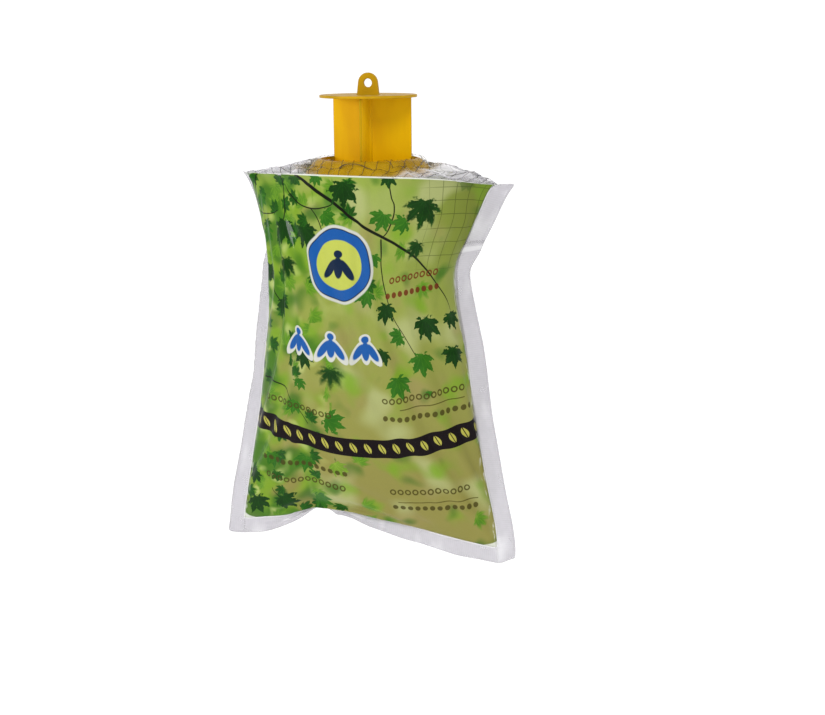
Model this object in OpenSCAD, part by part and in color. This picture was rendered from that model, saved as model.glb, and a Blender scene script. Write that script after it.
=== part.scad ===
// Disposable hanging bag trap for flying insects.
// Insects enter under the roof disc, drop through the funnel and stay in the film bag.
// Origin: centre of the hanging eye. X runs across the bag, -Y is its printed front, +Z is up.

/* [Cap] */
// Diameter of the roof disc
disc_d = 68; // [68:1:72]
// Thickness of the roof disc
disc_t = 1.8; // [1.6:0.1:3]
// Diameter of the hole in the hanging eye
eye_hole_d = 6; // [4:0.5:8]
// Outer radius of the hanging eye
eye_r = 7; // [6:0.5:8]
// Width of the eye's foot where it meets the disc
eye_foot_w = 16; // [15:0.5:20]
// Thickness of the hanging eye
eye_t = 2.4; // [1.5:0.1:4]

/* [Vanes] */
// Radius from the axis to a vane's outer edge
vane_r = 32; // [30:0.5:32]
// Thickness of a vane
vane_t = 1.6; // [1.2:0.1:2.4]
// Free height between the disc and the collar
window_h = 42; // [36:1:46]
// Turn of the three vanes about the axis, in degrees
vane_turn = 6; // [0:1:20]

/* [Collar and funnel] */
// Outer radius of the collar's shoulder
collar_r = 45; // [44:0.5:46]
// Drop of the shoulder from its top to its rim
collar_drop = 10.5; // [8:0.5:12]
// Wall of the moulded collar
collar_t = 1.6; // [1.2:0.1:2]
// Radius of the funnel's outlet
outlet_r = 11; // [8:0.5:14]
// Depth of the funnel below the collar
funnel_h = 44; // [36:1:50]

/* [Bag] */
// Thickness given to a film wall
film_t = 0.4; // [0.3:0.05:0.6]
// Thickness given to the welded margins
weld_t = 0.8; // [0.6:0.1:1]
// Farthest the front and back panels stand out from the middle plane
bulge = 48; // [47:0.5:52]
// How far the top gusset folds down at its two ends
gusset_dip = 30; // [20:1:34]

/* [Bait] */
// Width of the bait sachet
sachet_w = 46; // [36:1:52]
// Height of the bait sachet
sachet_h = 32; // [24:1:36]
// Thickness of the filled sachet
sachet_t = 7; // [5:0.5:9]

/* [Hidden] */
$fn = 72;

yellow = "#e0a800";
eps = 0.05;
gap = 0.1;

// Heights, all measured from the eye's centre.
disc_top = -8;
disc_under = disc_top - disc_t;
collar_top = disc_under - window_h;

bore_r = vane_r + 1.6;
lip_h = 3.5;
lip_under = collar_top - lip_h;
foot_h = 3;
foot_r = bore_r + 2.8;
foot_top = lip_under - 0.3;
foot_under = foot_top - foot_h;
tenon_h = 0.9;
tenon_len = 14;
tenon_start = 12;
hub_r = 2.4;
vane_lift = 0.6;
eye_arc_steps = 28;
lug_t = 1.2;
rim_t = 1;
seat_t = 1.2;
seat_w = 2.1;
funnel_wall = 0.9;
brim_gap = 0.7;
dome_gap = 0.5;

// Outline of the bag. Side lines hold [height, place], bottom lines hold [place, height].
// The flat bag is pulled in at its waist because it stands full of air.
left_seam = [
    [-324, -103.5], [-295, -98], [-245, -91], [-200, -86.5], [-145, -80], [-113, -80.5], [-88, -84],
    [-63, -85]
];
right_seam = [
    [-334, 94], [-300, 87.5], [-240, 78], [-205, 74.5], [-150, 68], [-120, 67], [-98, 73.5], [-69, 88.5]
];
left_edge = [
    [-338, -116], [-328, -115], [-249, -104.5], [-195, -97.5], [-158, -91.5], [-110, -88], [-88, -90.5],
    [-63, -97]
];
right_edge = [
    [-345, 108], [-328, 108], [-282, 99], [-220, 89], [-172, 82.5], [-128, 73.5], [-119, 79], [-89, 92.5],
    [-68.5, 102.5]
];
bottom_seam = [[-103.5, -324], [-62, -318], [-45, -306.5], [-20, -314], [37, -322], [94, -334]];
bottom_edge = [
    [-116, -338], [-103.5, -338], [-78, -330], [-58, -321], [-45, -310], [-11, -319.5], [50, -338],
    [93, -347], [108, -345]
];
top_line = [[-85, -63], [-40, -60], [20, -60.5], [60, -63], [88.5, -69]];

// Share of the full bulge from the top of a panel (0) to its bottom seam (1).
bulge_share = [[0, 0.99], [0.2, 0.98], [0.45, 0.95], [0.7, 0.82], [0.88, 0.5], [1, 0.01]];

panel_cols = 24;
panel_rows = 20;
settle_passes = 6;
gusset_cols = 48;
gusset_rows = 6;
dome_rows = 6;
shoulder_steps = 10;
// Largest value of q * (1 - q)^2 between 0 and 1 is 1 / 6.75.
dip_scale = 6.75;

// Value at x of a smooth curve through points, given in rising order of their first number.
function slope(p, i) = i == 0 ? (p[1][1] - p[0][1]) / (p[1][0] - p[0][0])
    : i == len(p) - 1 ? (p[i][1] - p[i - 1][1]) / (p[i][0] - p[i - 1][0])
    : (p[i + 1][1] - p[i - 1][1]) / (p[i + 1][0] - p[i - 1][0]);
function segment(p, x, i = 0) = i >= len(p) - 2 || x <= p[i + 1][0] ? i : segment(p, x, i + 1);
function hermite(p, i, x, w, s) =
    (2 * s * s * s - 3 * s * s + 1) * p[i][1] + (s * s * s - 2 * s * s + s) * w * slope(p, i)
    + (3 * s * s - 2 * s * s * s) * p[i + 1][1] + (s * s * s - s * s) * w * slope(p, i + 1);
function curve(p, x) =
    let (q = min(max(x, p[0][0]), p[len(p) - 1][0]), i = segment(p, q), w = p[i + 1][0] - p[i][0])
    hermite(p, i, q, w, (q - p[i][0]) / w);

function mix(a, b, s) = a + (b - a) * s;
function along(n) = [for (i = [0 : n]) i / n];

// A closed sheet from two grids of points with the same layout.
module sheet(outer, inner, closed_loop = false) {
    rows = len(outer);
    cols = len(outer[0]);
    last = closed_loop ? cols - 1 : cols - 2;
    points = concat([for (r = outer) for (p = r) p], [for (r = inner) for (p = r) p]);
    half = rows * cols;
    function at(r, c, side) = side * half + r * cols + c % cols;
    skins = [for (r = [0 : rows - 2], c = [0 : last]) each [
        [at(r, c, 0), at(r, c + 1, 0), at(r + 1, c + 1, 0)],
        [at(r, c, 0), at(r + 1, c + 1, 0), at(r + 1, c, 0)],
        [at(r, c, 1), at(r + 1, c + 1, 1), at(r, c + 1, 1)],
        [at(r, c, 1), at(r + 1, c, 1), at(r + 1, c + 1, 1)]
    ]];
    ends = [for (c = [0 : last]) each [
        [at(0, c, 0), at(0, c, 1), at(0, c + 1, 1)],
        [at(0, c, 0), at(0, c + 1, 1), at(0, c + 1, 0)],
        [at(rows - 1, c, 0), at(rows - 1, c + 1, 1), at(rows - 1, c, 1)],
        [at(rows - 1, c, 0), at(rows - 1, c + 1, 0), at(rows - 1, c + 1, 1)]
    ]];
    sides = closed_loop ? [] : [for (r = [0 : rows - 2]) each [
        [at(r, 0, 0), at(r + 1, 0, 1), at(r, 0, 1)],
        [at(r, 0, 0), at(r + 1, 0, 0), at(r + 1, 0, 1)],
        [at(r, cols - 1, 0), at(r, cols - 1, 1), at(r + 1, cols - 1, 1)],
        [at(r, cols - 1, 0), at(r + 1, cols - 1, 1), at(r + 1, cols - 1, 0)]
    ]];
    polyhedron(points, concat(skins, ends, sides), convexity = 6);
}

module ring(outer_r, inner_r, low, high) {
    translate([0, 0, low])
        difference() {
            cylinder(r = outer_r, h = high - low);
            translate([0, 0, -1])
                cylinder(r = inner_r, h = high - low + 2);
        }
}

module each_vane() {
    for (k = [0 : 2])
        rotate([0, 0, vane_turn - 90 + 120 * k])
            children();
}

// Side view of the eye: an arc that runs into a wider foot.
module eye_outline() {
    reach = -disc_top + eps;
    half_foot = eye_foot_w / 2;
    start = acos(eye_r / norm([half_foot, reach])) - atan2(reach, half_foot);
    arc = [for (k = along(eye_arc_steps)) let (a = mix(start, 180 - start, k)) eye_r * [cos(a), sin(a)]];
    polygon(concat([[-half_foot, -reach], [half_foot, -reach]], arc));
}

// Roof disc with the upright hanging eye. Blind slots underneath take the vanes' tenons.
module roof_cap() {
    color(yellow)
        difference() {
            union() {
                translate([0, 0, disc_under])
                    cylinder(d = disc_d, h = disc_t);
                rotate([90, 0, 0])
                    linear_extrude(height = eye_t, center = true)
                        eye_outline();
            }
            rotate([90, 0, 0])
                cylinder(d = eye_hole_d, h = eye_t + 2, center = true);
            each_vane()
                translate([tenon_start - gap, -vane_t / 2, disc_under - 1])
                    cube([tenon_len + 2 * gap, vane_t, tenon_h + gap + 1]);
        }
}

// Three vanes at 120 degrees on a slim hub, tied together by the stop ring at their foot.
module vane_insert() {
    top = disc_under - eps;
    low = foot_under + vane_lift;
    color(yellow)
        union() {
            translate([0, 0, low])
                linear_extrude(height = top - low)
                    union() {
                        circle(r = hub_r);
                        each_vane()
                            translate([0, -vane_t / 2])
                                square([vane_r, vane_t]);
                    }
            each_vane()
                translate([tenon_start, gap - vane_t / 2, top - 1])
                    cube([tenon_len, vane_t - 2 * gap, tenon_h + 1]);
            ring(foot_r, vane_r - 1, foot_under, foot_top);
        }
}

// Shoulder height at radius r: level at the bore and falling to the rim.
function shoulder(r) = collar_top - collar_drop * pow(max(r - bore_r, 0) / (collar_r - bore_r), 1.8);

// Moulded collar under the gusset film. Paired lugs keep each vane from turning in the bore.
module entry_collar() {
    radii = [for (s = along(shoulder_steps)) mix(bore_r, collar_r, s)];
    color(yellow)
        union() {
            rotate_extrude()
                polygon(concat(
                    [for (r = radii) [r, shoulder(r)]],
                    [for (i = [shoulder_steps : -1 : 2]) [radii[i] - 0.6, shoulder(radii[i]) - collar_t]],
                    [[bore_r + collar_t, lip_under], [bore_r, lip_under]]
                ));
            each_vane()
                for (side = [-1, 1])
                    translate([vane_r - 1, side * (vane_t / 2 + 0.3 + lug_t / 2) - lug_t / 2, lip_under])
                        cube([bore_r - vane_r + 1.3, lug_t, lip_h - 0.4]);
        }
}

// Funnel clipped round the stop ring. It slides with the cap.
module entry_funnel() {
    seat = foot_under - gap;
    mouth = seat - seat_t;
    rim_in = foot_r + gap;
    rim_out = rim_in + rim_t;
    rim_top = foot_top - 0.6;
    mouth_r = rim_in - seat_w;
    outlet = seat - funnel_h;
    color("#f0c63c")
        rotate_extrude()
            polygon([
                [rim_in, rim_top], [rim_out, rim_top], [rim_out, mouth], [mouth_r + funnel_wall, mouth],
                [outlet_r + funnel_wall, outlet], [outlet_r, outlet], [mouth_r, mouth], [mouth_r, seat],
                [rim_in, seat]
            ]);
}

// Places on a panel. s runs from the left seam (0) to the right (1), t from the top (0) to the bottom (1).
// Each pass moves the point onto both families of lines until they agree.
function arch(s) = pow(max(4 * s * (1 - s), 0), 0.72);
function seam_x(s, z) = mix(curve(left_seam, z), curve(right_seam, z), s);
function settle(s, t, z, passes) =
    let (x = seam_x(s, z), next = mix(curve(top_line, x), curve(bottom_seam, x), t))
    passes == 0 ? [x, next] : settle(s, t, next, passes - 1);
function panel_place(s, t) = settle(s, t, mix(-65, -325, t), settle_passes);
function panel_depth(s, t) = bulge * curve(bulge_share, t) * arch(s);

function panel_point(s, t, side, inset) =
    let (place = panel_place(s, t))
    [place[0], side * (panel_depth(s, t) + eps + film_t - inset), place[1]];

// One bulged wall of the bag. side is -1 for the front and 1 for the back.
module panel(side) {
    outer = [for (t = along(panel_rows)) [for (s = along(panel_cols)) panel_point(s, t, side, 0)]];
    inner = [for (t = along(panel_rows)) [for (s = along(panel_cols)) panel_point(s, t, side, film_t)]];
    if (side < 0) sheet(inner, outer);
    else sheet(outer, inner);
}

module front_panel() {
    color("#9cb24e")
        panel(-1);
}

module back_panel() {
    color("#9cb24e")
        panel(1);
}

// Place on the top opening's edge at angle a, just inside the panels.
function brim(a) =
    let (
        s = 0.5 + 0.465 * cos(a),
        place = panel_place(s, 0),
        wall = panel_depth(s, 0) - brim_gap,
        side = (sin(a) < 0 ? -1 : 1) * min(1, 3 * abs(sin(a)))
    )
    [place[0], side * wall, place[1] - 0.3];

function dome_point(a, r) = [r * cos(a), r * sin(a), shoulder(r) + film_t + dome_gap];

// Folded film roof of the bag, lying on the collar's shoulder and dipping at its two ends.
module top_gusset() {
    first_r = bore_r + 2;
    function dip(a, q) = gusset_dip * pow(abs(cos(a)), 5) * dip_scale * q * pow(1 - q, 2);
    function span(a, q) =
        let (from = dome_point(a, collar_r + 0.6), to = brim(a))
        mix(from, to, q) - [0, 0, dip(a, q)];
    turns = [for (c = [0 : gusset_cols - 1]) 360 * c / gusset_cols];
    top = concat(
        [for (k = along(dome_rows)) [for (a = turns) dome_point(a, mix(first_r, collar_r, k))]],
        [for (q = along(gusset_rows)) [for (a = turns) span(a, q)]]
    );
    low = [for (row = top) [for (p = row) p - [0, 0, film_t]]];
    color("#cfc7a8")
        sheet(low, top, closed_loop = true);
}

// Flat welded margin between a panel's edge and the bag's outline.
module margin(near_line, far_line) {
    reversed = [for (i = [len(far_line) - 1 : -1 : 0]) far_line[i]];
    color("#c9c7cf")
        rotate([90, 0, 0])
            linear_extrude(height = weld_t, center = true)
                polygon(concat(near_line, reversed));
}

// A side weld runs past the bottom corner of its panel to the bag's own corner.
module side_seal(s, edge, push) {
    seam = [for (t = along(panel_rows)) panel_place(s, t) + [push, 0]];
    foot = seam[panel_rows][0];
    outline = [for (p = seam) [curve(edge, p[1]), p[1]]];
    margin(concat(seam, [[foot, curve(bottom_edge, foot)]]), concat(outline, [[edge[0][1], edge[0][0]]]));
}

module left_side_seal() {
    side_seal(0, left_edge, -gap);
}

module right_side_seal() {
    side_seal(1, right_edge, gap);
}

module bottom_seal() {
    seam = [for (s = along(panel_cols)) panel_place(s, 1) - [0, gap]];
    left = seam[0][0] + gap;
    right = seam[panel_cols][0] - gap;
    outline = [for (s = along(panel_cols)) let (x = mix(left, right, s)) [x, curve(bottom_edge, x)]];
    inside = [for (p = seam) [min(max(p[0], left), right), p[1]]];
    margin(inside, outline);
}

// Pillow shape: a thin rim with a thicker middle.
module pillow(w, h, t, rim) {
    hull() {
        cube([w, rim, h], center = true);
        cube([w * 0.62, t, h * 0.55], center = true);
    }
}

sachet_place = [8, 0, -288];

module bait_sachet() {
    color("white")
        translate(sachet_place)
            difference() {
                pillow(sachet_w, sachet_h, sachet_t, 0.8);
                pillow(sachet_w - 7, sachet_h - 7, sachet_t - 1, 0.5);
            }
}

module bait_powder() {
    color("tan")
        translate(sachet_place)
            pillow(sachet_w - 8, sachet_h - 8, sachet_t - 1.4, 0.3);
}

roof_cap();
vane_insert();
entry_funnel();
entry_collar();
top_gusset();
front_panel();
back_panel();
left_side_seal();
right_side_seal();
bottom_seal();
bait_sachet();
bait_powder();
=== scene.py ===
"""Hanging bag trap for flying insects: the looks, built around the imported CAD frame.

The bag's film is one cloth in the flat pattern's sizes, blown up onto the CAD bag's shape and then cut into
its panels and welds. The print is drawn by nodes in the flat pattern's millimetres.
"""
import math

import bpy
import numpy as np
from mathutils import Matrix, Vector
from mathutils.bvhtree import BVHTree


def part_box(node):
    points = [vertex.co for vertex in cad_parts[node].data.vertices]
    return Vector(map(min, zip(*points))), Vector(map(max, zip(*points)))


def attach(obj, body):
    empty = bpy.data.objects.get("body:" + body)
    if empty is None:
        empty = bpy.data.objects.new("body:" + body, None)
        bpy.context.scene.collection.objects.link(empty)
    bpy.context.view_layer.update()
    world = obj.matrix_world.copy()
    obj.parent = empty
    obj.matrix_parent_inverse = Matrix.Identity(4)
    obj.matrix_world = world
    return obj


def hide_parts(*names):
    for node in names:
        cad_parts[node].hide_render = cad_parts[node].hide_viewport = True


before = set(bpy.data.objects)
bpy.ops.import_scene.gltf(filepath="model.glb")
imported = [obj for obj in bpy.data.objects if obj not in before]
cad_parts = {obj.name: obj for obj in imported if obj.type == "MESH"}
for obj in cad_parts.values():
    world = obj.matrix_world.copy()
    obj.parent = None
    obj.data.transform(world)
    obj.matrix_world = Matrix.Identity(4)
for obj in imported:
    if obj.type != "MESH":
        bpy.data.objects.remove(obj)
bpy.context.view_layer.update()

MM = 0.001
RNG = np.random.default_rng(11)


def mix(a, b, s):
    return a + (b - a) * s


def smooth(x, low, high):
    t = np.clip((x - low) / (high - low), 0, 1)
    return t * t * (3 - 2 * t)


# ---------------------------------------------------------------- reading the frame


def node_edges(name):
    """Both ends of every edge of a CAD node."""
    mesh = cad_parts[name].data
    points = np.array([v.co for v in mesh.vertices])
    pairs = np.array([e.vertices[:] for e in mesh.edges])
    return points[pairs[:, 0]], points[pairs[:, 1]]


def spans(name, axis, values, across):
    """Lowest and highest place along one axis where a node is cut by planes on another axis."""
    a, b = node_edges(name)
    found = []
    for value in values:
        hit = (a[:, axis] - value) * (b[:, axis] - value) <= 0
        step = b[hit, axis] - a[hit, axis]
        step[np.abs(step) < 1e-9] = 1e-9
        share = np.clip((value - a[hit, axis]) / step, 0, 1)
        places = a[hit, across] + share * (b[hit, across] - a[hit, across])
        found.append((places.min(), places.max()))
    return np.array(found)


def surface(name):
    """A CAD node's faces, for rays to be cast at."""
    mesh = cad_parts[name].data
    return BVHTree.FromPolygons([v.co for v in mesh.vertices], [p.vertices[:] for p in mesh.polygons])


# ---------------------------------------------------------------- meshes and creases


def make_object(name, points, faces):
    mesh = bpy.data.meshes.new(name)
    mesh.from_pydata([tuple(p) for p in points], [], [list(map(int, f)) for f in faces])
    mesh.update()
    piece = bpy.data.objects.new(name, mesh)
    bpy.context.scene.collection.objects.link(piece)
    return piece


def shade_smooth(piece):
    piece.data.polygons.foreach_set("use_smooth", [True] * len(piece.data.polygons))


def thicken(piece, thickness):
    shell = piece.modifiers.new("thickness", "SOLIDIFY")
    shell.thickness = thickness
    shell.offset = 0


def dress(piece, skin, body, node):
    """Gives a piece its material, its moving body and the CAD node whose place it takes."""
    piece.data.materials.append(skin)
    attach(piece, body)
    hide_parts(node)


class Creases:
    """Flat facets with sharp ridges, as in crumpled film: zigzags in random directions, added together."""

    def __init__(self, count, shortest, longest):
        turn = RNG.uniform(0, 2 * math.pi, count)
        self.ways = np.stack([np.cos(turn), np.sin(turn), RNG.uniform(-0.5, 0.5, count)], 1)
        self.lengths = RNG.uniform(shortest, longest, count)
        self.starts = RNG.uniform(0, 1, count)

    def at(self, points):
        """Heights from about -1 to 1 at the points."""
        phase = points @ self.ways.T / self.lengths + self.starts
        zigzag = np.abs(phase - np.round(phase)) * 4 - 1
        return zigzag.mean(axis=1) * 1.6


def vertex_normals(points, faces):
    quads = points[np.array(faces)]
    facing = np.cross(quads[:, 2] - quads[:, 0], quads[:, 3] - quads[:, 1])
    out = np.zeros_like(points)
    for corner in range(4):
        np.add.at(out, np.array(faces)[:, corner], facing)
    return out / np.maximum(np.linalg.norm(out, axis=1, keepdims=True), 1e-12)


# ---------------------------------------------------------------- cloth

FILM_TENSION = 20.0
FILM_MASS = 0.15


def weight_group(piece, name, weights):
    group = piece.vertex_groups.new(name=name)
    for index, weight in enumerate(weights):
        if weight > 0:
            group.add([index], float(weight), "REPLACE")


def lead_to(piece, goal, frames):
    """A shape key that moves the piece onto the goal points within some frames."""
    piece.shape_key_add(name="flat")
    key = piece.shape_key_add(name="goal")
    key.data.foreach_set("co", np.asarray(goal, np.float32).ravel())
    key.value = 0
    key.keyframe_insert("value", frame=1)
    key.value = 1
    key.keyframe_insert("value", frame=frames)


def relax(piece, goal, pins, blown, pressure, bending, frames, move):
    """Cloth that starts as its flat pattern, so its sizes stay the pattern's, and is led onto the goal."""
    lead_to(piece, goal, move)
    weight_group(piece, "pins", pins)
    weight_group(piece, "blown", blown)
    cloth = piece.modifiers.new("film", "CLOTH")
    settings = cloth.settings
    settings.quality = 8
    settings.mass = FILM_MASS
    settings.tension_stiffness = FILM_TENSION
    settings.compression_stiffness = FILM_TENSION
    settings.shear_stiffness = FILM_TENSION * 0.4
    settings.bending_stiffness = bending
    settings.air_damping = 2
    settings.vertex_group_mass = "pins"
    settings.pin_stiffness = 1.0
    settings.use_pressure = True
    settings.uniform_pressure_force = pressure
    settings.vertex_group_pressure = "blown"
    settings.effector_weights.gravity = 0
    cloth.collision_settings.use_collision = False
    cloth.point_cache.frame_start = 1
    cloth.point_cache.frame_end = frames
    scene = bpy.context.scene
    scene.frame_start, scene.frame_end = 1, frames
    for step in range(1, frames + 1):
        scene.frame_set(step)
    graph = bpy.context.evaluated_depsgraph_get()
    settled = piece.evaluated_get(graph).to_mesh()
    out = np.zeros(len(settled.vertices) * 3, np.float32)
    settled.vertices.foreach_get("co", out)
    scene.frame_set(1)
    bpy.data.objects.remove(piece)
    return out.reshape(-1, 3).astype(float)


# ---------------------------------------------------------------- the bag's outline

# The film's flat pattern between its welds, and the welds' own widths.
FLAT_W = 199 * MM
FLAT_H = 269 * MM
SIDE_WELD = 13.5 * MM
FOOT_WELD = 12 * MM

# Cells of the film across, down, and across a weld; rows and columns count from 0 inside the welds.
COLS = 60
ROWS = 80
WELD_CELLS = 3

FRONT, BACK, LEFT, RIGHT, FOOT = range(5)

FILM_THICK = 0.25 * MM
GUSSET_THICK = 0.2 * MM

# How far the film's seams and the welds' free edges stand from the CAD's, in mm towards +X, left and right,
# at heights in mm: the waist is drawn in, and the left weld folds back at the top.
WAIST_Z = (-320, -285, -245, -215, -185, -156, -130, -112, -95, -83, -72, -62)
SEAM_SHIFT = (
    (0, 0.5, 2.5, 4.0, 4.3, 4.2, 5.0, 2.6, 1.2, -0.5, -4.0, -8.5),
    (0, -1.0, -2.4, -2.4, -3.3, -5.8, -6.0, -2.9, -0.3, 0.4, 3.3, 3.0),
)
EDGE_SHIFT = (
    (-1.0, 0.7, 4.0, 5.6, 5.0, 4.4, 5.2, 8.2, 6.6, 6.3, 3.5, -1.5),
    (0, -1.4, -1.6, -2.9, -3.6, -4.0, -6.0, -0.7, 0.7, 1.0, 1.4, 0),
)

# Samples along each CAD edge, and how far they keep from its ends.
EDGE_SAMPLES = 90
EDGE_PAD = 0.3 * MM

# First guess of the film's top and foot, and the rounds that bring it onto the real edges.
TOP_GUESS = -65 * MM
FOOT_GUESS = -325 * MM
PLACE_ROUNDS = 12

# Share of a narrowed weld's hidden width that turns towards the back.
WELD_TURN = 0.8


class BagOutline:
    """The bag's edges as the CAD welds give them, as functions of height or of x, drawn in at the waist."""

    def __init__(self):
        self.heights, self.inner, self.outer = {}, {}, {}
        for side, node in ((0, "left_side_seal"), (1, "right_side_seal")):
            low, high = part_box(node)
            z = np.linspace(low.z + EDGE_PAD, high.z - EDGE_PAD, EDGE_SAMPLES)
            cut = spans(node, 2, z, 0)
            self.heights[side] = z
            self.inner[side] = cut[:, 1 - side]
            self.outer[side] = cut[:, side]
        low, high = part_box("bottom_seal")
        self.foot_x = np.linspace(low.x + EDGE_PAD, high.x - EDGE_PAD, EDGE_SAMPLES)
        foot = spans("bottom_seal", 0, self.foot_x, 2)
        self.foot_inner, self.foot_outer = foot[:, 1], foot[:, 0]
        self.top_x = np.linspace(self.inner[0][-1] + EDGE_PAD, self.inner[1][-1] - EDGE_PAD, EDGE_SAMPLES)
        self.top_z = spans("front_panel", 0, self.top_x, 2)[:, 1]

    def seam(self, side, z):
        shift = np.interp(z / MM, WAIST_Z, SEAM_SHIFT[side]) * MM
        return np.interp(z, self.heights[side], self.inner[side]) + shift

    def edge(self, side, z):
        shift = np.interp(z / MM, WAIST_Z, EDGE_SHIFT[side]) * MM
        return np.interp(z, self.heights[side], self.outer[side]) + shift

    def place(self, s, t):
        """Where a point of the pattern (s across, t down) lies in the bag's plane."""
        z = mix(TOP_GUESS, FOOT_GUESS, t)
        for _ in range(PLACE_ROUNDS):
            x = mix(self.seam(0, z), self.seam(1, z), s)
            top = np.interp(x, self.top_x, self.top_z)
            foot = np.interp(x, self.foot_x, self.foot_inner)
            z = mix(top, foot, t)
        return x, z


def depth_at(hull, way, x, z):
    """How far a panel stands out at a place, tried a little lower where the ray slips past an edge."""
    for drop in (0.03, 0.2, 0.6):
        for nudge in (0.02, -0.11, 0.17):
            hit = hull.ray_cast(Vector((x + nudge * MM, way, z - drop * MM)), Vector((0, -way, 0)))[0]
            if hit:
                return abs(hit.y)
    return 0.0


# ---------------------------------------------------------------- the bag's film


def film_point(line, row, column):
    """Target place and flat place of one point of the film, which may lie in a weld."""
    s = min(max(column / COLS, 0), 1)
    t = min(row / ROWS, 1)
    below = max(row - ROWS, 0) / WELD_CELLS
    beyond = max(-column, column - COLS, 0) / WELD_CELLS
    side, sign = (0, -1) if column < 0 else (1, 1)
    x, z = line.place(s, t)
    y = 0.0
    u = (s - 0.5) * FLAT_W
    v = -t * FLAT_H
    if below:
        foot = np.interp(x, line.foot_x, line.foot_outer)
        z = mix(z, foot, below)
        v -= FOOT_WELD * below
    if beyond:
        edge = line.edge(side, z)
        width = abs(edge - x)
        x = mix(x, edge, beyond)
        y = math.sqrt(max(SIDE_WELD**2 - width**2, 0)) * beyond * WELD_TURN
        u += sign * SIDE_WELD * beyond
    return (x, y, z), (u, 0, v)


def ring(grid, j, i):
    """Corners of one cell of a grid of point numbers."""
    return [grid[j, i], grid[j + 1, i], grid[j + 1, i + 1], grid[j, i + 1]]


def part_at(row, column):
    if column < 0:
        return LEFT
    if column >= COLS:
        return RIGHT
    return FOOT if row >= ROWS else FRONT


def bag_points():
    """Points of both films, which share the welds and part between them, with their grids of numbers."""
    line = BagOutline()
    hull = {-1: surface("front_panel"), 1: surface("back_panel")}
    shape = (ROWS + 1 + WELD_CELLS, COLS + 1 + 2 * WELD_CELLS)
    points, pattern = [], []
    front = np.zeros(shape, int)
    back = np.zeros(shape, int)
    for row, i in np.ndindex(shape):
        column = i - WELD_CELLS
        (x, y, z), flat = film_point(line, row, column)
        welded = column <= 0 or column >= COLS or row >= ROWS
        front[row, i] = back[row, i] = len(points)
        points.append((x, y if welded else -depth_at(hull[-1], -1, x, z), z))
        pattern.append(flat)
        if not welded:
            back[row, i] = len(points)
            points.append((x, depth_at(hull[1], 1, x, z), z))
            pattern.append(flat)
    return np.array(points), np.array(pattern), front, back


def bag_cells(front, back):
    """Faces of both films and the part that each belongs to."""
    faces, parts = [], []
    for row, i in np.ndindex(front.shape[0] - 1, front.shape[1] - 1):
        faces.append(ring(front, row, i))
        parts.append(part_at(row, i - WELD_CELLS))
        if parts[-1] == FRONT:
            faces.append(ring(back, row, i)[::-1])
            parts.append(BACK)
    return faces, parts


# How firmly the seams and the panels are held to the CAD's shape, and how far the cloth may leave it.
SEAM_HOLD = 0.86
PANEL_HOLD = 0.2
MOST_MOVE = 9 * MM

# Where the flat film lies before it is led onto the bag, and how far its two sheets start apart.
FLAT_START = np.array([-5 * MM, 0, -62 * MM])
HALF_GAP = 0.5 * MM


def blow_up_bag():
    """The settled film: points, pattern, faces, parts and the two grids."""
    points, pattern, front, back = bag_points()
    faces, parts = bag_cells(front, back)
    inside = np.s_[:ROWS, WELD_CELLS + 1:WELD_CELLS + COLS]
    blown = np.zeros(len(points))
    pins = np.full(len(points), SEAM_HOLD)
    flat = pattern + FLAT_START
    flat[:, 1] = RNG.normal(0, 0.1 * MM, len(flat))
    for grid, gap in ((front, -HALF_GAP), (back, HALF_GAP)):
        blown[grid[inside]] = 1
        pins[grid[inside]] = PANEL_HOLD
        flat[grid[inside], 1] += gap
    pins[front[0]] = 1
    pins[back[0]] = 1
    piece = make_object("bag_cloth", flat, faces)
    settled = relax(piece, points, pins, blown, pressure=3.0, bending=0.15, frames=45, move=22)
    reach = settled - points
    length = np.linalg.norm(reach, axis=1, keepdims=True)
    settled = points + reach * np.minimum(1, MOST_MOVE / np.maximum(length, 1e-9))
    pucker(settled, pattern, front, back)
    return settled, pattern, faces, parts, front, back


# Height of the short creases at the welds, and how fast they fade away from them.
PUCKER = 0.55 * MM
SIDE_FADE = 8 * MM
FOOT_FADE = 7 * MM

# Height of the crinkles in the welds' free edges and of the crease across the right weld.
CRINKLE = 2.2 * MM
CREASE = 3 * MM

# The crease across the right weld at the waist, on the pattern: its height at the seam (mm) and its slope.
FOLD_V = -49
FOLD_SLOPE = 0.5

# The side seams and the foot seam on the pattern (mm).
SEAM_LINE = FLAT_W / MM / 2
FOOT_LINE = -FLAT_H / MM


def pucker(points, pattern, front, back):
    """Short creases that run in from the welds, and crinkles and a crease in the welds' free edges."""
    u, v = pattern[:, 0], pattern[:, 2]
    from_side = FLAT_W / 2 - np.abs(u)
    from_foot = FLAT_H + v
    side_wave = np.sin(2 * math.pi * (v / (9 * MM) + np.abs(u) / (31 * MM) + 0.7 * np.sin(v / (17 * MM))))
    foot_wave = np.sin(2 * math.pi * (u / (11 * MM) + 0.6 * np.sin(u / (19 * MM))))
    side_share = np.exp(-np.maximum(from_side, 0) / SIDE_FADE)
    foot_share = np.exp(-np.maximum(from_foot, 0) / FOOT_FADE)
    height = PUCKER * (side_wave * side_share + foot_wave * foot_share) * smooth(-v, 4 * MM, 20 * MM)
    inside = np.s_[1:ROWS, WELD_CELLS + 1:WELD_CELLS + COLS]
    points[front[inside], 1] -= height[front[inside]]
    points[back[inside], 1] += height[back[inside]]
    free = np.maximum(-from_side, 0) / SIDE_WELD + np.maximum(-from_foot, 0) / FOOT_WELD
    free = np.clip(free, 0, 1)
    points[:, 1] += Creases(6, 18 * MM, 45 * MM).at(pattern) * free * CRINKLE
    across_fold = v / MM - FOLD_V - (u / MM - SEAM_LINE) * FOLD_SLOPE
    points[:, 1] -= np.exp(-np.abs(across_fold) / 4) * np.where(u > 0, free, 0) * CREASE


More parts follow.
